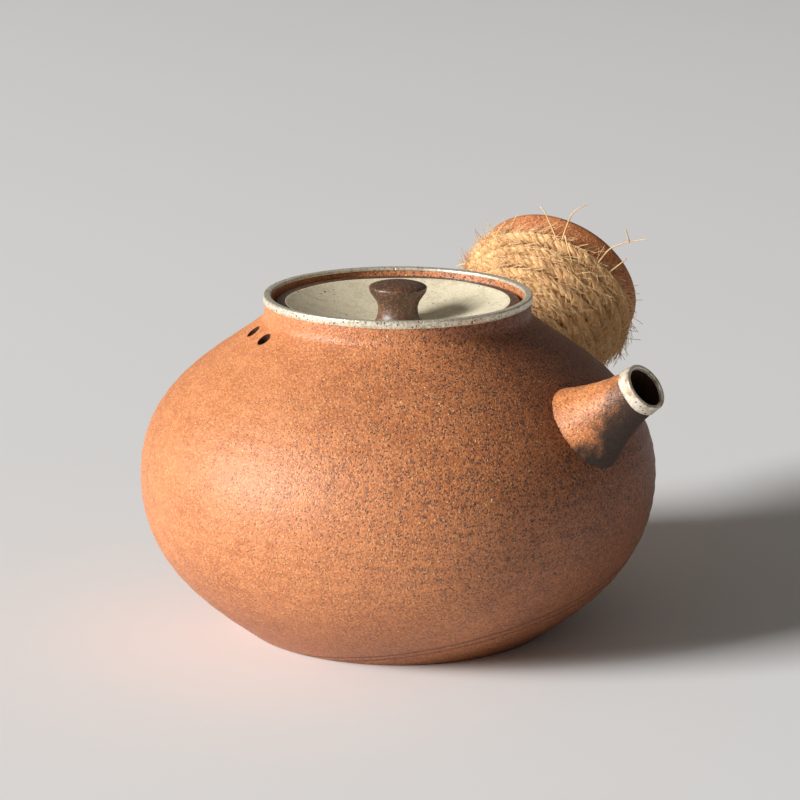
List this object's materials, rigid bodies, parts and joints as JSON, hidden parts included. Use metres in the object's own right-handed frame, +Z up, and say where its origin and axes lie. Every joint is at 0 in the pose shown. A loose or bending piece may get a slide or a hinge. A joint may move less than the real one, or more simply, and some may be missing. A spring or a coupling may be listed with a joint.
{
  "type": "teapot",
  "caption": "Round clay teapot with a flared side spout, a hollow twine-wound side handle, a drop-in dished lid with a turned knob, and silver-glazed mouth, lid dish and spout tip.",
  "frame": {"origin": "middle of the flat foot, on the table", "axes": "+Z up, +X the way the spout points, the side handle leaves near +Y"},
  "size_m": [0.1089, 0.1308, 0.0698],
  "materials": {
    "clay": "coarse unglazed stoneware, semi-matte",
    "dark_clay": "dark fired stoneware, semi-matte",
    "silver_glaze": "satin silver glaze",
    "twine": "hairy natural twine"
  },
  "bodies": {
    "pot": {"pot_body": "clay", "spout": "clay", "handle": "clay", "handle_wrap": "twine", "mouth_glaze": "silver_glaze", "spout_glaze": "silver_glaze"},
    "lid": {"lid": "dark_clay", "lid_knob": "dark_clay", "lid_glaze": "silver_glaze"}
  },
  "joints": [
    {"name": "lid_lift", "type": "slide", "parent": "pot", "child": "lid", "axis": [0, 0, 1], "range_m": [0, 0.06]}
  ]
}
